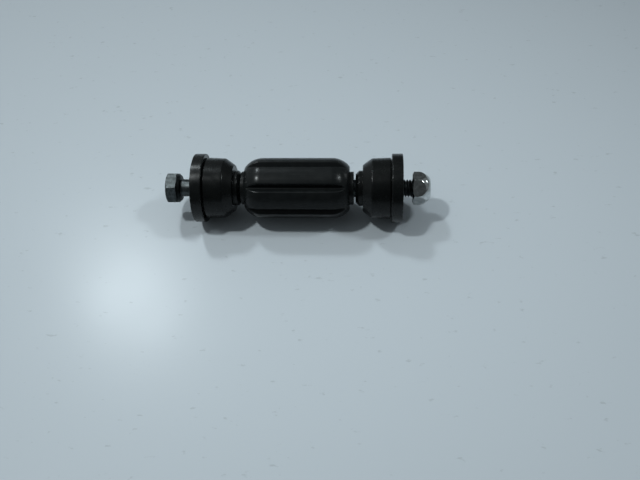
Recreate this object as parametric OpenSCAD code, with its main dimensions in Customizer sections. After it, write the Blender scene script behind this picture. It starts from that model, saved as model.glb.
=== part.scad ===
// Stabilizer link: a through bolt that carries two rubber bushes in cup washers,
// a fluted spacer between them, and a lock nut. The bolt lies along X, head at -X.

/* [Bolt] */
// Thread size of the bolt
bolt_d = 8; // [6:0.5:9]
// How much thinner the plain shank is than the thread, in diameter
shank_relief = 0.2; // [0.1:0.1:0.8]
// Length of the thread at the nut end
thread_l = 22; // [14:1:60]
// Chamfer on the tip of the bolt
tip_chamfer = 1; // [0.4:0.1:1.5]
// Hexagon of the head across its flats
head_af = 13; // [12:0.5:17]
// Height of the head with its washer face
head_h = 6.2; // [5:0.1:8]
// Height of the tapered washer face under the head
washer_face_h = 1.3; // [0.2:0.1:1.5]
// Fillet leg between the shank and the washer face
head_fillet = 0.4; // [0.2:0.1:0.6]
// Turn of the head about the bolt
head_turn = 42; // [0:1:59]

/* [Cup washers] */
// Outer diameter of a cup washer
cup_d = 31; // [29:0.5:40]
// Height of a cup washer from its outer face to its rim
cup_h = 4.9; // [3.5:0.1:7]
// Thickness of the floor of a cup washer
cup_floor = 2; // [1:0.1:3]
// Rounding leg on the outer edges of a cup washer
cup_edge = 0.4; // [0.1:0.1:0.8]

/* [Bushes] */
// Diameter of a bush at its rim, beside the cup
bush_d = 27.4; // [26:0.1:30]
// Diameter of a bush at its shoulder, where the taper starts
bush_shoulder_d = 26.8; // [25:0.1:30]
// Length of a bush from its rim to its shoulder
bush_body_l = 8.3; // [5:0.1:14]
// Diameter of the end of a bush that sits in its cup
seat_d = 26; // [20:0.5:26.5]
// Length of the seat that shows between the cup's rim and the bush
seat_reveal = 0.5; // [0.2:0.1:3]
// Length of the tapered part of a bush
cone_l = 4.1; // [2:0.1:8]
// Small diameter of the tapered part
cone_end_d = 20.8; // [18:0.1:24]
// Diameter of the neck that enters the eye
neck_d = 15.9; // [15.5:0.1:17.5]
// Length of the neck with its chamfer
neck_l = 3.2; // [2:0.1:6]
// Chamfer on the end of the neck
neck_chamfer = 1.5; // [0.4:0.1:1.8]
// Rounding leg on the outer edges of a bush
bush_edge = 0.5; // [0.1:0.1:1]

/* [Spacer] */
// Outer diameter of the distance tube
tube_d = 15; // [13.5:0.1:16]
// Chamfer on the ends of the distance tube
tube_chamfer = 0.3; // [0.1:0.1:0.6]
// Length of the tube that stands out at each end of the sleeve
collar_l = 1.85; // [1:0.05:5]
// Outer diameter of the fluted sleeve
sleeve_d = 27.2; // [24:0.1:32]
// Length of the fluted sleeve
sleeve_l = 47; // [30:0.5:80]
// Radius of the rounding at each end of the sleeve
end_round_r = 10; // [7:0.5:14]
// Diameter of the end face that cuts the rounding
end_face_d = 19.5; // [18.5:0.1:23]
// Number of flutes round the sleeve
flute_n = 7; // [5:1:10]
// Angle between the two flanks of a flute
flute_angle = 66; // [40:1:90]
// Radius of the round bottom of a flute
flute_bottom_r = 0.8; // [0.4:0.1:1.4]
// Depth of a flute
flute_depth = 2.3; // [1.5:0.1:2.8]
// Turn of the first flute about the bolt
flute_turn = 16; // [0:1:51]

/* [Lock nut] */
// Hexagon of the nut across its flats
nut_af = 13; // [12.5:0.5:17]
// Height of the nut with its domed end
nut_h = 8; // [7:0.1:8.4]
// Height at which the dome leaves the corners of the hexagon
nut_dome_x = 2.2; // [1.5:0.1:3]
// Radius of the dome's outline
nut_dome_r = 6.8; // [6.4:0.1:9]
// Thickness of the rolled lip over the insert
nut_lip_h = 1; // [0.8:0.1:1.4]
// Outer diameter of the locking insert
insert_d = 10.1; // [9:0.1:10.2]
// Height of the locking insert
insert_h = 2; // [1:0.1:2.4]
// Turn of the nut about the bolt
nut_turn = 12; // [0:1:59]

/* [Loose assembly] */
// Bare shank between the head and its cup washer
head_gap = 6.9; // [0.5:0.1:20]
// Gap between the spacer and the neck of the nut-side bush
spacer_gap = 0.9; // [0.1:0.1:10]
// Bare thread between the cup washer and the nut
nut_gap = 4.3; // [0.1:0.1:15]
// How far the tip of the bolt reaches into the nut
nut_engaged = 4.25; // [2:0.05:6]

/* [Clearances] */
// Radial clearance of the bolt holes
hole_clearance = 0.2; // [0.05:0.05:0.4]
// Radial clearance of the thread in the nut and its insert
thread_clearance = 0.05; // [0.02:0.01:0.1]
// Radial clearance of the sleeve on its tube
sleeve_clearance = 0.05; // [0.02:0.01:0.2]
// Radial clearance of the seat in its cup
seat_clearance = 0.3; // [0.1:0.05:0.5]
// Clearance between faces that rest on each other
face_clearance = 0.05; // [0.02:0.01:0.2]

/* [Hidden] */
$fn = 96;

// Diameters that follow from the thread
shank_d = bolt_d - shank_relief;
hole_d = bolt_d + 2 * hole_clearance;
nut_bore_d = bolt_d + 2 * thread_clearance;

// The washer face tapers between these shares of the head's flats
washer_face_foot_share = 0.97;
washer_face_end_share = 0.9;
washer_face_foot_r = washer_face_foot_share * head_af / 2;
washer_face_end_r = washer_face_end_share * head_af / 2;

// A hexagon's chamfer rises at this angle and starts at this share of the flats
hex_chamfer_angle = 30;
hex_chamfer_share = 0.95;

// How much the corners of a hexagon are turned down, in radius
corner_trim = 0.1;
head_corner_r = head_af / 2 / cos(30) - corner_trim;
nut_corner_r = nut_af / 2 / cos(30) - corner_trim;

// How far a cutter runs past the face that it cuts
cut_over = 1;

// Length of the rounding, from where it meets the barrel to where the end face cuts it
end_round_drop = (sleeve_d - end_face_d) / 2;
end_round_l = sqrt(pow(end_round_r, 2) - pow(end_round_r - end_round_drop, 2));

// Lengths along a bush, from its seat to its neck
cup_depth = cup_h - cup_floor;
seat_l = cup_depth + seat_reveal - face_clearance;
bush_l = seat_l + bush_body_l + cone_l + neck_l;
tube_l = sleeve_l + 2 * collar_l;

// Places along the bolt, from under the head
head_bush_x = head_gap + cup_floor + face_clearance;
tube_x = head_bush_x + bush_l + face_clearance;
sleeve_x = tube_x + collar_l;
nut_neck_x = tube_x + tube_l + spacer_gap;
nut_bush_x = nut_neck_x + bush_l;
nut_cup_x = nut_bush_x + face_clearance + cup_floor;
nut_x = nut_cup_x + nut_gap;
bolt_l = nut_x + nut_engaged;
insert_x = nut_h - nut_lip_h - face_clearance - insert_h;

// The origin is the middle of the overall length, on the bolt's axis
overall_l = head_h + max(nut_x + nut_h, bolt_l);
under_head_x = head_h - overall_l / 2;

// Stands children that are drawn along +Z on the bolt, pointing to the nut
module toward_nut(x) {
    translate([under_head_x + x, 0, 0]) rotate([0, 90, 0]) children();
}

// Stands children that are drawn along +Z on the bolt, pointing to the head
module toward_head(x) {
    translate([under_head_x + x, 0, 0]) rotate([0, -90, 0]) children();
}

// Outline of a round block that turns down the corners of a hexagon and chamfers its bottom
module chamfered_outline(af, corner_r, h) {
    chamfer_r = hex_chamfer_share * af / 2;
    rise = (corner_r - chamfer_r) * tan(hex_chamfer_angle);
    polygon([[0, 0], [chamfer_r, 0], [corner_r, rise], [corner_r, h], [0, h]]);
}

module hexagon(af, h) {
    cylinder(d = af / cos(30), h = h, $fn = 6);
}

module bolt() {
    shank_r = shank_d / 2;
    thread_r = bolt_d / 2;
    thread_x = bolt_l - thread_l;
    hex_h = head_h - washer_face_h;
    color("#4a4642") {
        toward_nut(-head_h) intersection() {
            rotate([0, 0, head_turn]) hexagon(head_af, hex_h);
            rotate_extrude() chamfered_outline(head_af, head_corner_r, hex_h);
        }
        toward_nut(0) rotate_extrude()
            polygon([[0, -washer_face_h], [washer_face_foot_r, -washer_face_h], [washer_face_end_r, 0],
                     [shank_r + head_fillet, 0], [shank_r, head_fillet],
                     [shank_r, thread_x - shank_relief], [thread_r, thread_x],
                     [thread_r, bolt_l - tip_chamfer], [thread_r - tip_chamfer, bolt_l], [0, bolt_l]]);
    }
}

// A round cup drawn from its outer face up to its rim
module cup_washer() {
    outer_r = cup_d / 2;
    inner_r = seat_d / 2 + seat_clearance;
    rotate_extrude()
        polygon([[hole_d / 2, 0], [outer_r - cup_edge, 0], [outer_r, cup_edge],
                 [outer_r, cup_h - cup_edge], [outer_r - cup_edge, cup_h],
                 [inner_r, cup_h], [inner_r, cup_floor], [hole_d / 2, cup_floor]]);
}

module head_cup_washer() {
    color("#1d1d1f") toward_nut(head_gap) cup_washer();
}

module nut_cup_washer() {
    color("#1d1d1f") toward_head(nut_cup_x) cup_washer();
}

// A bush drawn from its seat up to its neck
module bush() {
    rim_r = bush_d / 2;
    neck_r = neck_d / 2;
    shoulder_x = seat_l + bush_body_l;
    neck_x = shoulder_x + cone_l;
    rotate_extrude()
        polygon([[hole_d / 2, 0], [seat_d / 2, 0], [seat_d / 2, seat_l],
                 [rim_r - bush_edge, seat_l], [rim_r, seat_l + bush_edge], [bush_shoulder_d / 2, shoulder_x],
                 [cone_end_d / 2, neck_x], [neck_r, neck_x],
                 [neck_r, bush_l - neck_chamfer], [neck_r - neck_chamfer, bush_l], [hole_d / 2, bush_l]]);
}

module head_bush() {
    color("#232325") toward_nut(head_bush_x) bush();
}

module nut_bush() {
    color("#232325") toward_head(nut_bush_x) bush();
}

module spacer_tube() {
    tube_r = tube_d / 2;
    color("#2a2a2c") toward_nut(tube_x) rotate_extrude()
        polygon([[hole_d / 2, 0], [tube_r - tube_chamfer, 0], [tube_r, tube_chamfer],
                 [tube_r, tube_l - tube_chamfer], [tube_r - tube_chamfer, tube_l], [hole_d / 2, tube_l]]);
}

// What the rounding takes off the outer corner at one end of the sleeve
module sleeve_corner() {
    corner_w = end_round_drop + cut_over;
    difference() {
        translate([end_face_d / 2, -cut_over]) square([corner_w, end_round_l + cut_over]);
        translate([sleeve_d / 2 - end_round_r, end_round_l]) circle(end_round_r);
    }
}

module sleeve_outline() {
    bore_r = tube_d / 2 + sleeve_clearance;
    difference() {
        translate([bore_r, 0]) square([sleeve_d / 2 - bore_r, sleeve_l]);
        sleeve_corner();
        translate([0, sleeve_l]) mirror([0, 1]) sleeve_corner();
    }
}

// A straight cutter with sloping flanks and a round bottom, which lies beside the axis and opens outwards
module flute_cutter() {
    half_angle = flute_angle / 2;
    bottom_x = sleeve_d / 2 - flute_depth + flute_bottom_r;
    flank_x = bottom_x - flute_bottom_r * sin(half_angle);
    flank_y = flute_bottom_r * cos(half_angle);
    top_x = sleeve_d / 2 + cut_over;
    top_y = flank_y + (top_x - flank_x) * tan(half_angle);
    translate([0, 0, -cut_over]) linear_extrude(sleeve_l + 2 * cut_over) {
        translate([bottom_x, 0]) circle(flute_bottom_r);
        polygon([[flank_x, -flank_y], [top_x, -top_y], [top_x, top_y], [flank_x, flank_y]]);
    }
}

module spacer_sleeve() {
    color("#222426") toward_nut(sleeve_x) difference() {
        rotate_extrude() sleeve_outline();
        for (i = [0 : flute_n - 1]) rotate([0, 0, flute_turn + i * 360 / flute_n]) flute_cutter();
    }
}

module nut_insert() {
    color("#d9d6c8") toward_nut(nut_x + insert_x) difference() {
        cylinder(d = insert_d, h = insert_h);
        translate([0, 0, -cut_over]) cylinder(d = nut_bore_d, h = insert_h + 2 * cut_over);
    }
}

// Outline of the nut's outside, whose dome closes in over the insert
module nut_outline() {
    dome_l = nut_h - nut_dome_x;
    centre_r = nut_corner_r - nut_dome_r;
    end_r = centre_r + sqrt(pow(nut_dome_r, 2) - pow(dome_l, 2));
    difference() {
        chamfered_outline(nut_af, nut_corner_r, nut_h);
        difference() {
            translate([end_r, nut_dome_x]) square([nut_corner_r - end_r + cut_over, dome_l + cut_over]);
            translate([centre_r, nut_dome_x]) circle(nut_dome_r);
        }
    }
}

module lock_nut() {
    pocket_d = insert_d + 2 * thread_clearance;
    pocket_x = insert_x - face_clearance;
    color("#b9b7ad") toward_nut(nut_x) difference() {
        intersection() {
            rotate([0, 0, nut_turn]) hexagon(nut_af, nut_h);
            rotate_extrude() nut_outline();
        }
        translate([0, 0, -cut_over]) cylinder(d = nut_bore_d, h = nut_h + 2 * cut_over);
        translate([0, 0, pocket_x]) cylinder(d = pocket_d, h = insert_h + 2 * face_clearance);
    }
}

bolt();
head_cup_washer();
head_bush();
spacer_tube();
spacer_sleeve();
nut_bush();
nut_cup_washer();
nut_insert();
lock_nut();
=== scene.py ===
import math

import bmesh
import bpy
from mathutils import Matrix, Vector


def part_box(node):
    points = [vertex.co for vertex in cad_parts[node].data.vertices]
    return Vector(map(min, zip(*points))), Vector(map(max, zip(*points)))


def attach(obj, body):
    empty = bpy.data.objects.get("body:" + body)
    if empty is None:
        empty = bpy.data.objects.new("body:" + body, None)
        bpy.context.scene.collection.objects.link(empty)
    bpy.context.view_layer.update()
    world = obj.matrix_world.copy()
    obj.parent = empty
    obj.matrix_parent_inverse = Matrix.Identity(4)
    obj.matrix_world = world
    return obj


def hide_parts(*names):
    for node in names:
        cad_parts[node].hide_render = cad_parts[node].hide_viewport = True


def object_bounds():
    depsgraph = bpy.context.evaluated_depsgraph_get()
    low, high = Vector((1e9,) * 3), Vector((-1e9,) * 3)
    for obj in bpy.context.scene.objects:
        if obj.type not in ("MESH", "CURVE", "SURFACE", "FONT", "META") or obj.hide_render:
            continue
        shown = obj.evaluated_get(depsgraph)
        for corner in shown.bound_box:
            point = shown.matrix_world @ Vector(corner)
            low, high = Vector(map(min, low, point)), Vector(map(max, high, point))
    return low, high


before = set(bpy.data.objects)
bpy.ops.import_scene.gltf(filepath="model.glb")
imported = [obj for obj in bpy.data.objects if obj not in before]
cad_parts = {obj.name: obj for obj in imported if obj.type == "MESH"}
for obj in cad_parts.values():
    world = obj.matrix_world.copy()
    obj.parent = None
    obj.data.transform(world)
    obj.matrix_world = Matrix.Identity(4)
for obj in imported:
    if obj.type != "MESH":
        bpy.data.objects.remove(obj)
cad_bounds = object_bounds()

# Lengths are in millimetres, angles in degrees; points become metres when they are made
MM = 0.001
AROUND = 120
WELD = 0.0005
SHARP_ANGLE = 40.0
ROUNDING_SHARE = 0.45
BORE_EDGE = 0.2

# Bolt
HOLE_R = 4.2
SHANK_R = 3.9
THREAD_R = 4.0
THREAD_L = 22.0
THREAD_PITCH = 1.25
THREAD_DEPTH = 0.767
THREAD_FADE = 1.6
CREST_ROUND = 0.03
ROOT_ROUND = 0.04
TIP_CHAMFER = 1.0
HEX_AF = 13.0
HEX_CHAMFER_SHARE = 0.95
HEX_CHAMFER_ANGLE = 30.0
HEX_EDGE = 0.16
HEX_EDGE_STEPS = 3
HEX_EDGE_ANGLE = 23.0
HEX_EDGE_MARGIN = 0.05
HEAD_TURN = 42.0
WASHER_FACE_R = 5.85
WASHER_FOOT_R = 6.305
WASHER_FACE_H = 1.3
WASHER_EDGE_L = 0.15
WASHER_EDGE_START = 0.07
WASHER_EDGE_END = 0.1
HEAD_H = 6.2
HEAD_FILLET = 0.4
HEAD_FILLET_STEPS = 5

# Cup washers
CUP_R = 15.5
CUP_H = 4.9
CUP_FLOOR = 2.0
CUP_INNER_R = 13.3
CUP_EDGE = 0.4
CUP_INNER_EDGE = 0.3

# Bushes, from the seat to the neck
SEAT_R = 13.0
SEAT_L = 3.35
RIM_R = 13.7
SHOULDER_R = 13.4
BODY_L = 8.3
CONE_L = 4.1
CONE_END_R = 10.4
NECK_R = 7.95
NECK_CHAMFER = 1.5
SEAT_EDGE = 0.5
SEAT_ROOT = 0.15
BUSH_EDGE = 0.5
SHOULDER_EDGE = 1.5
CONE_EDGE = 0.35
NECK_ROOT = 0.25
NECK_EDGE = 0.5
NECK_END_EDGE = 0.4

# Spacer
TUBE_R = 7.5
TUBE_EDGE = 0.3
SLEEVE_R = 13.6
SLEEVE_BORE_R = 7.55
END_ROUND_R = 10.0
END_FACE_R = 9.75
END_FACE_EDGE = 0.5
END_STEPS = 34
END_STEPS_IN_EDGE = 3
FLUTES = 7
FLUTE_ANGLE = 66.0
FLUTE_BOTTOM_R = 0.8
FLUTE_DEPTH = 2.3
FLUTE_LEAST_DEPTH = 0.002
FLUTE_LIP = 0.55
FLUTE_LIP_SHARE = 0.4
FLUTE_TURN = 16.0
FLUTE_END_RISES = (0.0, 0.02, 0.07)

# Lock nut
NUT_H = 8.0
NUT_TURN = 12.0
DOME_X = 2.2
DOME_R = 6.8
DOME_STEPS = 12
POCKET_R = 5.1
POCKET_X = 4.9
LIP_X = 7.0
LIP_R = 4.05
LIP_EDGE = 0.05
NUT_COUNTERSINK = 0.4
NUT_BORE_R = 4.06
NUT_RIDGE_R = 3.42
INSERT_BORE_R = 4.05
INSERT_EDGE = 0.2
INSERT_LEAD_IN = 0.3

# Table, half its width in metres
TABLE_HALF = 15.0

# Camera: where it stands, how it is rolled, and where in the image the link's middle falls
IMAGE_W = 640
IMAGE_H = 480
FOCAL_PX = 800.0
CAMERA_YAW = 8.143
CAMERA_ELEVATION = 48.0
CAMERA_ROLL = 5.993
CAMERA_DISTANCE = 363.19
TARGET_X = 0.45
TARGET_PX = (298.8, 188.1)

# Light of the room, as (direction, level): from front to rear, and its share from left to right
ROOM = ((-1.0, 0.11), (-0.5, 0.19), (-0.1, 0.49), (0.3, 0.56), (0.7, 0.44), (1.0, 0.2))
ROOM_SIDES = ((-1.0, 0.96), (-0.2, 1.0), (0.03, 0.38), (1.0, 0.38))


def point(x, r, turn):
    """A point at radius r and angle turn about the bolt's axis, x along it."""
    return Vector((x, r * math.sin(turn), -r * math.cos(turn))) * MM


def turns(start=0.0):
    """The angles of one ring of points."""
    return [math.radians(start) + math.tau * j / AROUND for j in range(AROUND)]


class Skin:
    """Gathers strips of faces and welds them into one closed mesh."""

    def __init__(self):
        self.bm = bmesh.new()

    def strip(self, rows, wrap=True):
        """Faces between neighbouring rows of points."""
        made = [[self.bm.verts.new(p) for p in row] for row in rows]
        for a, b in zip(made, made[1:]):
            count = len(a) if wrap else len(a) - 1
            for j in range(count):
                k = (j + 1) % len(a)
                self.bm.faces.new((a[j], a[k], b[k], b[j]))

    def fan(self, row, centre):
        """Faces from a ring to a point on the axis."""
        hub = self.bm.verts.new(centre)
        ring = [self.bm.verts.new(p) for p in row]
        for j in range(len(ring)):
            self.bm.faces.new((ring[j], ring[(j + 1) % len(ring)], hub))

    def piece(self, name, soften=None):
        """The finished object; soften picks the edges that get a small rounding."""
        bm = self.bm
        bmesh.ops.remove_doubles(bm, verts=bm.verts[:], dist=WELD * MM)
        bmesh.ops.dissolve_degenerate(bm, edges=bm.edges[:], dist=WELD * MM)
        bmesh.ops.recalc_face_normals(bm, faces=bm.faces[:])
        if soften:
            weight = bm.edges.layers.float.new("bevel_weight_edge")
            for edge in bm.edges:
                if len(edge.link_faces) == 2 and soften(edge):
                    edge[weight] = 1.0
        mesh = bpy.data.meshes.new(name)
        bm.to_mesh(mesh)
        bm.free()
        mesh.polygons.foreach_set("use_smooth", [True] * len(mesh.polygons))
        obj = bpy.data.objects.new(name, mesh)
        bpy.context.collection.objects.link(obj)
        if soften:
            bevel = obj.modifiers.new("edges", "BEVEL")
            bevel.limit_method = "WEIGHT"
            bevel.width = HEX_EDGE * MM
            bevel.segments = HEX_EDGE_STEPS
        else:
            mesh.set_sharp_from_angle(angle=math.radians(SHARP_ANGLE))
        normals = obj.modifiers.new("normals", "WEIGHTED_NORMAL")
        normals.keep_sharp = True
        return obj


def rounded(corners, steps=5):
    """A closed outline through corners (x, r, rounding), with each corner rounded."""
    out = []
    for i, (x, r, rounding) in enumerate(corners):
        here = Vector((x, r))
        if rounding == 0:
            out.append(here)
            continue
        before = Vector(corners[i - 1][:2]) - here
        after = Vector(corners[(i + 1) % len(corners)][:2]) - here
        longest = ROUNDING_SHARE * min(before.length, after.length)
        before.normalize()
        after.normalize()
        half = before.angle(after) / 2
        reach = min(rounding / math.tan(half), longest)
        centre = here + (before + after).normalized() * (reach / math.cos(half))
        out += arc(centre, here + before * reach, here + after * reach, steps)
    return out


def arc(centre, start, end, steps):
    """Points on the shorter arc from start to end about centre."""
    a = start - centre
    b = end - centre
    sweep = a.angle(b)
    if sweep < 1e-6:
        return [start.copy() for _ in range(steps + 1)]
    points = []
    for k in range(steps + 1):
        t = k / steps
        points.append(centre + (a * math.sin((1 - t) * sweep) + b * math.sin(t * sweep)) / math.sin(sweep))
    return points


def lathe(name, corners):
    """A closed outline turned about the bolt's axis."""
    outline = rounded(corners)
    rows = [[point(x, r, t) for t in turns()] for x, r in outline]
    skin = Skin()
    skin.strip(rows + rows[:1])
    return skin.piece(name)


def along(node, flipped, corners):
    """Corners given from one end of a node, placed where the node is."""
    low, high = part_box(node)
    if flipped:
        return [(high.x / MM - x, r, e) for x, r, e in corners]
    return [(low.x / MM + x, r, e) for x, r, e in corners]


def cup_washer(node, flipped):
    """A floor with a rim around the bush's seat."""
    corners = [
        (0, HOLE_R, BORE_EDGE), (0, CUP_R, CUP_EDGE), (CUP_H, CUP_R, CUP_EDGE),
        (CUP_H, CUP_INNER_R, CUP_INNER_EDGE), (CUP_FLOOR, CUP_INNER_R, CUP_INNER_EDGE),
        (CUP_FLOOR, HOLE_R, BORE_EDGE),
    ]
    return lathe(node + "_skin", along(node, flipped, corners))


def bush(node, flipped):
    """A seat, a body, a taper and a neck with a chamfered end."""
    low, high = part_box(node)
    length = (high.x - low.x) / MM
    shoulder = SEAT_L + BODY_L
    taper_end = shoulder + CONE_L
    corners = [
        (0, HOLE_R, BORE_EDGE), (0, SEAT_R, SEAT_EDGE), (SEAT_L, SEAT_R, SEAT_ROOT),
        (SEAT_L, RIM_R, BUSH_EDGE), (shoulder, SHOULDER_R, SHOULDER_EDGE),
        (taper_end, CONE_END_R, CONE_EDGE), (taper_end, NECK_R, NECK_ROOT),
        (length - NECK_CHAMFER, NECK_R, NECK_EDGE), (length, NECK_R - NECK_CHAMFER, NECK_END_EDGE),
        (length, HOLE_R, BORE_EDGE),
    ]
    return lathe(node + "_skin", along(node, flipped, corners))


def spacer_tube(node):
    """The plain tube whose ends stand out of the sleeve."""
    low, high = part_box(node)
    length = (high.x - low.x) / MM
    corners = [
        (0, HOLE_R, BORE_EDGE), (0, TUBE_R, TUBE_EDGE),
        (length, TUBE_R, TUBE_EDGE), (length, HOLE_R, BORE_EDGE),
    ]
    return lathe(node + "_skin", along(node, False, corners))


def flute_half(r, lip_steps=7, bottom_steps=6):
    """Half a flute's outline where the sleeve's radius is r, from the lip to the bottom.

    Points are (sideways, outwards). The flank is straight, the lip and the bottom are round.
    """
    half = math.radians(FLUTE_ANGLE / 2)
    middle = Vector((0, SLEEVE_R - FLUTE_DEPTH + FLUTE_BOTTOM_R))
    bottom = Vector((0, SLEEVE_R - FLUTE_DEPTH))
    depth = r - bottom.y
    if depth < FLUTE_LEAST_DEPTH:
        return [Vector((0, r))] * (lip_steps + bottom_steps + 2)
    lip = min(FLUTE_LIP, FLUTE_LIP_SHARE * depth)
    reach = r - lip
    into_wall = Vector((math.cos(half), -math.sin(half)))
    up_flank = Vector((math.sin(half), math.cos(half)))
    flank_end = middle + into_wall * FLUTE_BOTTOM_R
    below_lip = middle + into_wall * (FLUTE_BOTTOM_R + lip)
    run = middle.y * up_flank.y
    climb = math.sqrt(max(run ** 2 + reach ** 2 - below_lip.length_squared, 0)) - run
    if climb > 0:
        lip_middle = below_lip + up_flank * climb
        flank_top = flank_end + up_flank * climb
    else:
        out = (reach ** 2 + middle.y ** 2 - (FLUTE_BOTTOM_R + lip) ** 2) / (2 * middle.y)
        lip_middle = Vector((math.sqrt(reach ** 2 - out ** 2), out))
        flank_top = middle + (lip_middle - middle).normalized() * FLUTE_BOTTOM_R
        flank_end = flank_top
    points = arc(lip_middle, lip_middle.normalized() * r, flank_top, lip_steps)
    return points + arc(middle, flank_end, bottom, bottom_steps)


def fluted_ring(x, r, land_steps=16):
    """One ring of the sleeve at x, where its radius is r."""
    half = [(math.atan2(p.x, p.y), p.length) for p in flute_half(r)]
    spread = half[0][0]
    step = math.tau / FLUTES
    ring = []
    for i in range(FLUTES):
        centre = math.radians(FLUTE_TURN) + i * step
        ring += [point(x, length, centre - angle) for angle, length in half]
        ring += [point(x, length, centre + angle) for angle, length in half[-2::-1]]
        for k in range(1, land_steps):
            ring.append(point(x, r, centre + spread + (step - 2 * spread) * k / land_steps))
    return ring


def sleeve_outline(length):
    """Half the sleeve's outer outline, from its end face to its middle, as (x, r)."""
    drop = SLEEVE_R - END_FACE_R
    round_l = math.sqrt(END_ROUND_R ** 2 - (END_ROUND_R - drop) ** 2)
    last = math.asin(round_l / END_ROUND_R)
    corners = [(0, SLEEVE_BORE_R, BORE_EDGE), (0, END_FACE_R, END_FACE_EDGE)]
    angles = [last * (1 - k / END_STEPS) for k in range(END_STEPS_IN_EDGE, END_STEPS + 1)]
    for rise in FLUTE_END_RISES:
        angles.append(math.acos(1 - (FLUTE_DEPTH - rise) / END_ROUND_R))
    for angle in sorted(angles, reverse=True):
        x = round_l - END_ROUND_R * math.sin(angle)
        corners.append((x, SLEEVE_R - END_ROUND_R * (1 - math.cos(angle)), 0))
    corners.append((length / 2, SLEEVE_R, 0))
    corners.append((length / 2, SLEEVE_BORE_R, 0))
    return rounded(corners)[:-1]


def spacer_sleeve(node):
    """The fluted sleeve, with rings from its bore over both rounded ends."""
    low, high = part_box(node)
    start = low.x / MM
    length = (high.x - low.x) / MM
    half = sleeve_outline(length)
    outline = half + [(length - x, r) for x, r in half[-2::-1]]
    rows = [fluted_ring(start + x, r) for x, r in outline]
    skin = Skin()
    skin.strip(rows + rows[:1])
    return skin.piece(node + "_skin")


def hex_r(turn, start):
    """Radius of the hexagon at an angle, with a corner at start."""
    side = (turn - math.radians(start)) % (math.tau / 6) - math.tau / 12
    return HEX_AF / 2 / math.cos(side)


def hex_edge(edge, least_r):
    """Whether an edge is one of a hexagon's sharp edges, outside least_r."""
    outside = [v.co.yz.length / MM > least_r + HEX_EDGE_MARGIN for v in edge.verts]
    return all(outside) and edge.calc_face_angle() > math.radians(HEX_EDGE_ANGLE)


def thread_rows(start, end, first_turn, profile, limit):
    """Rows along a right-hand thread.

    profile is (share of the pitch, radius); limit gives the least and the most radius at x.
    """
    angles = [math.radians(first_turn) + math.tau * j / AROUND for j in range(AROUND + 1)]
    first = math.floor(start / THREAD_PITCH) - 2
    last = math.ceil(end / THREAD_PITCH) + 1
    rows = []
    for k in range(first, last):
        for share, radius in profile:
            row = []
            for angle in angles:
                x = THREAD_PITCH * (k + share + angle / math.tau)
                x = min(max(x, start), end)
                least, most = limit(x)
                row.append(point(x, min(max(radius, least), most), angle))
            rows.append(row)
    return rows


def bolt(node):
    """The head with its washer face, the shank and the helical thread."""
    low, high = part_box(node)
    head_end = low.x / MM
    tip = high.x / MM
    under_head = head_end + HEAD_H
    hex_under = under_head - WASHER_FACE_H
    thread_start = tip - THREAD_L
    chamfer_r = HEX_CHAMFER_SHARE * HEX_AF / 2
    rise = math.tan(math.radians(HEX_CHAMFER_ANGLE))
    angles = turns(HEAD_TURN)
    skin = Skin()

    face = [point(head_end, chamfer_r, t) for t in angles]
    skin.fan(face, point(head_end, 0, 0))
    corner = [hex_r(t, HEAD_TURN) for t in angles]
    rows = [face]
    rows.append([point(head_end + (r - chamfer_r) * rise, r, t) for r, t in zip(corner, angles)])
    rows.append([point(hex_under, r, t) for r, t in zip(corner, angles)])
    turned = [(hex_under, WASHER_FOOT_R)]
    turned.append((under_head - WASHER_EDGE_L, WASHER_FACE_R + WASHER_EDGE_START))
    turned.append((under_head, WASHER_FACE_R - WASHER_EDGE_END))
    centre = Vector((under_head + HEAD_FILLET, SHANK_R + HEAD_FILLET))
    on_face = Vector((under_head, centre.y))
    on_shank = Vector((centre.x, SHANK_R))
    turned += arc(centre, on_face, on_shank, HEAD_FILLET_STEPS)
    turned.append((thread_start, SHANK_R))
    rows += [[point(x, r, t) for t in angles] for x, r in turned]
    skin.strip(rows)

    def limit(x):
        fade = min(max((x - thread_start) / THREAD_FADE, 0), 1)
        crest = min(THREAD_R, SHANK_R + (x - thread_start))
        point_r = THREAD_R - TIP_CHAMFER + (tip - x)
        return crest - THREAD_DEPTH * fade, min(crest, point_r)

    # Crest with rounded edges, flank, root with rounded edges
    root = THREAD_R - THREAD_DEPTH
    profile = [
        (0.0, THREAD_R - CREST_ROUND), (0.03, THREAD_R), (0.095, THREAD_R), (0.125, THREAD_R - CREST_ROUND),
        (0.46, root + ROOT_ROUND), (0.51, root), (0.615, root), (0.665, root + ROOT_ROUND),
    ]
    thread = thread_rows(thread_start, tip, HEAD_TURN, profile, limit)
    skin.strip(thread, wrap=False)
    skin.fan([point(tip, THREAD_R - TIP_CHAMFER, t) for t in angles], point(tip, 0, 0))

    def soften(edge):
        return hex_edge(edge, HEX_AF / 2)

    return skin.piece(node + "_skin", soften)


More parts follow.
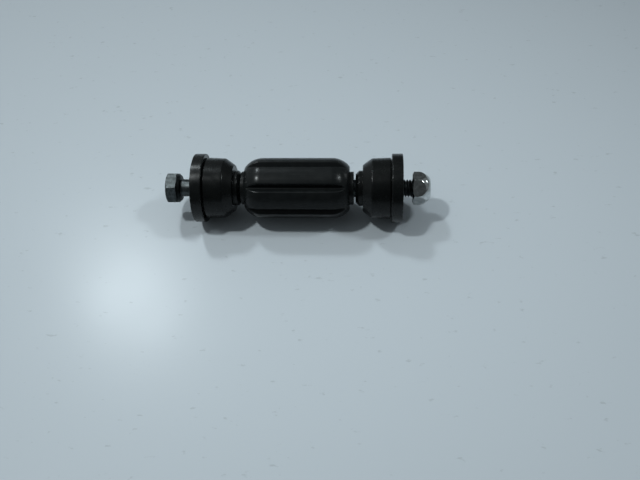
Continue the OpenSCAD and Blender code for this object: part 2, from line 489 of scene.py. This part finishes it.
def lock_nut(node):
    """The hexagon with its domed end, the insert's pocket and the helical thread."""
    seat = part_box(node)[0].x / MM
    chamfer_r = HEX_CHAMFER_SHARE * HEX_AF / 2
    rise = math.tan(math.radians(HEX_CHAMFER_ANGLE))
    angles = turns(NUT_TURN)
    corner = [hex_r(t, NUT_TURN) for t in angles]
    thread_start = seat + NUT_COUNTERSINK
    thread_end = seat + POCKET_X
    skin = Skin()

    rows = [[point(thread_start, NUT_BORE_R, t) for t in angles]]
    rows.append([point(seat, NUT_BORE_R + NUT_COUNTERSINK, t) for t in angles])
    rows.append([point(seat, chamfer_r, t) for t in angles])
    rows.append([point(seat + (r - chamfer_r) * rise, r, t) for r, t in zip(corner, angles)])
    dome_middle = max(corner) - DOME_R
    top = math.asin((NUT_H - DOME_X) / DOME_R)
    foot = [math.acos(min((r - dome_middle) / DOME_R, 1)) for r in corner]
    for k in range(DOME_STEPS + 1):
        lifts = [f + (top - f) * k / DOME_STEPS for f in foot]
        row = []
        for lift, t in zip(lifts, angles):
            x = seat + DOME_X + DOME_R * math.sin(lift)
            row.append(point(x, dome_middle + DOME_R * math.cos(lift), t))
        rows.append(row)
    turned = [(NUT_H, LIP_R + LIP_EDGE), (NUT_H - LIP_EDGE, LIP_R), (LIP_X, LIP_R), (LIP_X, POCKET_R)]
    turned += [(POCKET_X, POCKET_R), (POCKET_X, NUT_BORE_R)]
    rows += [[point(seat + x, r, t) for t in angles] for x, r in turned]
    skin.strip(rows)

    def limit(x):
        fade = min(max(min(x - thread_start, thread_end - x) / THREAD_FADE, 0), 1)
        return NUT_BORE_R - (NUT_BORE_R - NUT_RIDGE_R) * fade, NUT_BORE_R

    # Groove, flank, ridge
    profile = [(0.0, NUT_BORE_R), (0.125, NUT_BORE_R), (0.42, NUT_RIDGE_R), (0.705, NUT_RIDGE_R)]
    skin.strip(thread_rows(thread_start, thread_end, NUT_TURN, profile, limit), wrap=False)

    def soften(edge):
        return hex_edge(edge, chamfer_r)

    return skin.piece(node + "_skin", soften)


def nut_insert(node):
    """The locking ring in the nut's pocket."""
    low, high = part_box(node)
    outer_r = high.z / MM
    length = (high.x - low.x) / MM
    corners = [
        (0, INSERT_BORE_R, INSERT_EDGE), (0, outer_r, INSERT_EDGE),
        (length, outer_r, INSERT_EDGE), (length, INSERT_BORE_R, INSERT_LEAD_IN),
    ]
    return lathe(node + "_skin", along(node, False, corners))


class Finish:
    """A procedural material: a surface whose colour, roughness and relief vary from place to place."""

    def __init__(self, name, metallic=0.0, specular=0.5):
        self.material = bpy.data.materials.new(name)
        self.material.use_nodes = True
        self.tree = self.material.node_tree
        self.surface = self.tree.nodes["Principled BSDF"]
        self.surface.inputs["Metallic"].default_value = metallic
        self.surface.inputs["Specular IOR Level"].default_value = specular
        self.place = self.tree.nodes.new("ShaderNodeTexCoord").outputs["Object"]
        self.relief = None

    def link(self, start, end):
        self.tree.links.new(start, end)

    def noise(self, per_m, detail=4.0, stretch=(1.0, 1.0, 1.0)):
        """Noise with so many features to the metre, drawn out along some axes."""
        mapping = self.tree.nodes.new("ShaderNodeMapping")
        mapping.inputs["Scale"].default_value = stretch
        self.link(self.place, mapping.inputs["Vector"])
        node = self.tree.nodes.new("ShaderNodeTexNoise")
        node.inputs["Scale"].default_value = per_m
        node.inputs["Detail"].default_value = detail
        self.link(mapping.outputs["Vector"], node.inputs["Vector"])
        return node.outputs["Fac"]

    def colours(self, factor, low, high, start=0.35, end=0.65):
        """Base colour between two colours, low up to the noise level start and high from end on."""
        ramp = self.tree.nodes.new("ShaderNodeValToRGB")
        ramp.color_ramp.elements[0].position = start
        ramp.color_ramp.elements[0].color = (*low, 1.0)
        ramp.color_ramp.elements[1].position = end
        ramp.color_ramp.elements[1].color = (*high, 1.0)
        self.link(factor, ramp.inputs["Fac"])
        self.link(ramp.outputs["Color"], self.surface.inputs["Base Color"])

    def roughness(self, factor, low, high):
        """Roughness between two values."""
        spread = self.tree.nodes.new("ShaderNodeMapRange")
        spread.inputs["From Min"].default_value = 0.3
        spread.inputs["From Max"].default_value = 0.7
        spread.inputs["To Min"].default_value = low
        spread.inputs["To Max"].default_value = high
        self.link(factor, spread.inputs["Value"])
        self.link(spread.outputs["Result"], self.surface.inputs["Roughness"])

    def bump(self, factor, height_mm, strength):
        """Fine relief, added to what is there."""
        node = self.tree.nodes.new("ShaderNodeBump")
        node.inputs["Strength"].default_value = strength
        node.inputs["Distance"].default_value = height_mm * MM
        self.link(factor, node.inputs["Height"])
        if self.relief:
            self.link(self.relief, node.inputs["Normal"])
        self.relief = node.outputs["Normal"]
        self.link(self.relief, self.surface.inputs["Normal"])


def moulded_rubber():
    """Black rubber with a dull sheen, a fine grain and slight waves."""
    finish = Finish("moulded_rubber", specular=0.18)
    finish.colours(finish.noise(260.0), (0.0026, 0.0031, 0.0031), (0.0038, 0.0045, 0.0045))
    finish.roughness(finish.noise(420.0, detail=5.0), low=0.2, high=0.3)
    finish.bump(finish.noise(5200.0, detail=3.0), height_mm=0.02, strength=0.2)
    finish.bump(finish.noise(380.0, detail=2.0), height_mm=0.08, strength=0.15)
    return finish.material


def moulded_plastic(name, streak, specular, dark, pale):
    """Black satin plastic; streak draws its grain out along an axis."""
    finish = Finish(name, specular=specular)
    finish.colours(finish.noise(300.0), dark, pale)
    finish.roughness(finish.noise(500.0, detail=5.0, stretch=streak), low=0.2, high=0.3)
    finish.bump(finish.noise(2600.0, detail=3.0, stretch=streak), height_mm=0.015, strength=0.25)
    return finish.material


def coated_steel():
    """Steel under a black satin coat."""
    finish = Finish("coated_steel", specular=0.18)
    finish.colours(finish.noise(500.0), (0.004, 0.0048, 0.0048), (0.0065, 0.0075, 0.0075))
    finish.roughness(finish.noise(900.0), low=0.24, high=0.36)
    finish.bump(finish.noise(3500.0), height_mm=0.012, strength=0.3)
    return finish.material


def phosphated_steel():
    """Dark, mottled satin steel."""
    finish = Finish("phosphated_steel", metallic=1.0)
    finish.colours(finish.noise(700.0, detail=6.0), (0.04, 0.045, 0.046), (0.09, 0.1, 0.103))
    finish.roughness(finish.noise(1500.0), low=0.38, high=0.5)
    finish.bump(finish.noise(2200.0), height_mm=0.02, strength=0.35)
    return finish.material


def zinc_plate():
    """Bright plated steel with slight waves."""
    finish = Finish("zinc_plate", metallic=1.0)
    finish.colours(finish.noise(600.0, detail=5.0), (0.46, 0.48, 0.47), (0.66, 0.68, 0.68))
    finish.roughness(finish.noise(1200.0), low=0.07, high=0.15)
    finish.bump(finish.noise(1100.0, detail=3.0), height_mm=0.04, strength=0.35)
    return finish.material


def natural_nylon():
    """Cream nylon."""
    finish = Finish("natural_nylon")
    finish.colours(finish.noise(900.0), (0.62, 0.59, 0.5), (0.74, 0.71, 0.62))
    finish.roughness(finish.noise(1500.0), low=0.32, high=0.48)
    finish.bump(finish.noise(3000.0), height_mm=0.015, strength=0.3)
    return finish.material


def table_top():
    """Pale, smooth table with a few darker specks."""
    finish = Finish("table_top", specular=0.12)
    specks = finish.noise(420.0, detail=6.0, stretch=(0.5, 1.0, 1.0))
    finish.colours(specks, (0.505, 0.546, 0.583), (0.42, 0.455, 0.485), start=0.67, end=0.74)
    finish.roughness(finish.noise(40.0, detail=3.0), low=0.225, high=0.245)
    return finish.material


def place(obj, node, material):
    """Puts a piece on its body in place of its node."""
    obj.data.materials.append(material)
    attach(obj, node)
    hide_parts(node)


def floor():
    """The table that the link lies on."""
    level = cad_bounds[0].z
    corners = [(x * TABLE_HALF, y * TABLE_HALF, level) for x, y in ((-1, -1), (1, -1), (1, 1), (-1, 1))]
    mesh = bpy.data.meshes.new("table")
    mesh.from_pydata(corners, [], [(0, 1, 2, 3)])
    obj = bpy.data.objects.new("table", mesh)
    bpy.context.collection.objects.link(obj)
    obj.data.materials.append(table_top())


def lamp(name, toward, distance, size, power, colour, beam, aim):
    """A round soft lamp in the given direction from the link, with a beam that fades out from the aim.

    Lengths are in metres here.
    """
    data = bpy.data.lights.new(name, "AREA")
    data.shape = "DISK"
    data.size = size
    data.energy = power
    data.color = colour
    data.spread = math.radians(beam)
    obj = bpy.data.objects.new(name, data)
    bpy.context.collection.objects.link(obj)
    obj.location = Vector(toward).normalized() * distance
    obj.rotation_euler = (obj.location - Vector((*aim, 0))).to_track_quat("Z", "Y").to_euler()


def graded(tree, direction, levels, tint):
    """Light that changes along one direction, as (direction from -1 to 1, level)."""
    spread = tree.nodes.new("ShaderNodeMapRange")
    spread.inputs["From Min"].default_value = -1.0
    node = tree.nodes.new("ShaderNodeValToRGB")
    elements = node.color_ramp.elements
    while len(elements) < len(levels):
        elements.new(0.5)
    for element, (way, level) in zip(elements, levels):
        element.position = (way + 1) / 2
        element.color = (tint[0] * level, tint[1] * level, tint[2] * level, 1.0)
    tree.links.new(direction, spread.inputs["Value"])
    tree.links.new(spread.outputs["Result"], node.inputs["Fac"])
    return node.outputs["Color"]


def surroundings():
    """A room that is dark on the camera's side, brightest overhead, dimmer far behind and on the right."""
    world = bpy.data.worlds.new("room")
    bpy.context.scene.world = world
    world.use_nodes = True
    tree = world.node_tree
    ways = tree.nodes.new("ShaderNodeSeparateXYZ")
    background = tree.nodes["Background"].inputs
    tree.links.new(tree.nodes.new("ShaderNodeTexCoord").outputs["Generated"], ways.inputs["Vector"])
    tree.links.new(graded(tree, ways.outputs["Y"], ROOM, (0.88, 0.98, 1.02)), background["Color"])
    tree.links.new(graded(tree, ways.outputs["X"], ROOM_SIDES, (1.0, 1.0, 1.0)), background["Strength"])


def camera():
    """Stands the camera, then turns it so that the target falls on its place in the image."""
    yaw = math.radians(CAMERA_YAW)
    rise = math.radians(CAMERA_ELEVATION)
    roll = math.radians(CAMERA_ROLL)
    back = Vector((math.sin(yaw) * math.cos(rise), -math.cos(yaw) * math.cos(rise), math.sin(rise)))
    ahead = -back
    right = ahead.cross(Vector((0, 0, 1))).normalized()
    down = ahead.cross(right)
    rolled_right = right * math.cos(roll) + down * math.sin(roll)
    rolled_down = down * math.cos(roll) - right * math.sin(roll)
    u = (TARGET_PX[0] - IMAGE_W / 2) / FOCAL_PX
    v = (TARGET_PX[1] - IMAGE_H / 2) / FOCAL_PX
    aim = Vector((0, 0, 1)).rotation_difference(Vector((u, v, 1)).normalized()).to_matrix()
    axes = aim @ Matrix((rolled_right, rolled_down, ahead))
    data = bpy.data.cameras.new("camera")
    data.sensor_fit = "HORIZONTAL"
    data.sensor_width = 36.0
    data.lens = data.sensor_width * FOCAL_PX / IMAGE_W
    data.clip_start = 0.01
    data.clip_end = 60.0
    obj = bpy.data.objects.new("camera", data)
    bpy.context.collection.objects.link(obj)
    turn = Matrix((axes[0], -axes[1], -axes[2])).transposed().to_4x4()
    spot = (Vector((TARGET_X, 0, 0)) + back * CAMERA_DISTANCE) * MM
    obj.matrix_world = Matrix.Translation(spot) @ turn
    bpy.context.scene.camera = obj


cup_finish = moulded_plastic(
    "cup_plastic", streak=(1.0, 1.0, 1.0), specular=0.26,
    dark=(0.0022, 0.0028, 0.0028), pale=(0.0034, 0.0041, 0.0042))
sleeve_finish = moulded_plastic(
    "sleeve_plastic", streak=(0.12, 1.0, 1.0), specular=0.15,
    dark=(0.0065, 0.0075, 0.0077), pale=(0.0092, 0.0104, 0.0106))
rubber = moulded_rubber()

place(bolt("bolt"), "bolt", phosphated_steel())
place(cup_washer("head_cup_washer", False), "head_cup_washer", cup_finish)
place(cup_washer("nut_cup_washer", True), "nut_cup_washer", cup_finish)
place(bush("head_bush", False), "head_bush", rubber)
place(bush("nut_bush", True), "nut_bush", rubber)
place(spacer_tube("spacer_tube"), "spacer_tube", coated_steel())
place(spacer_sleeve("spacer_sleeve"), "spacer_sleeve", sleeve_finish)
place(nut_insert("nut_insert"), "nut_insert", natural_nylon())
place(lock_nut("lock_nut"), "lock_nut", zinc_plate())

floor()
surroundings()
lamp(
    "overhead_lamp", toward=(-0.44, -0.04, 1.0), distance=1.14, size=0.09, power=1.0,
    colour=(0.91, 0.98, 0.99), beam=85.0, aim=(-0.059, -0.038))
lamp(
    "left_rear_lamp", toward=(-0.435, 0.64, 1.0), distance=1.49, size=0.16, power=0.5,
    colour=(0.88, 0.98, 1.02), beam=57.0, aim=(-0.036, -0.023))
lamp(
    "side_window", toward=(0.82, 0.43, 0.29), distance=1.2, size=0.2, power=0.4,
    colour=(0.92, 1.0, 1.03), beam=180.0, aim=(0.0, 0.0))
lamp(
    "right_lamp", toward=(0.74, 0.1, 1.0), distance=0.8, size=0.11, power=0.078,
    colour=(0.9, 0.99, 1.02), beam=42.0, aim=(0.02, -0.05))
camera()
bpy.context.scene.view_settings.view_transform = "Standard"
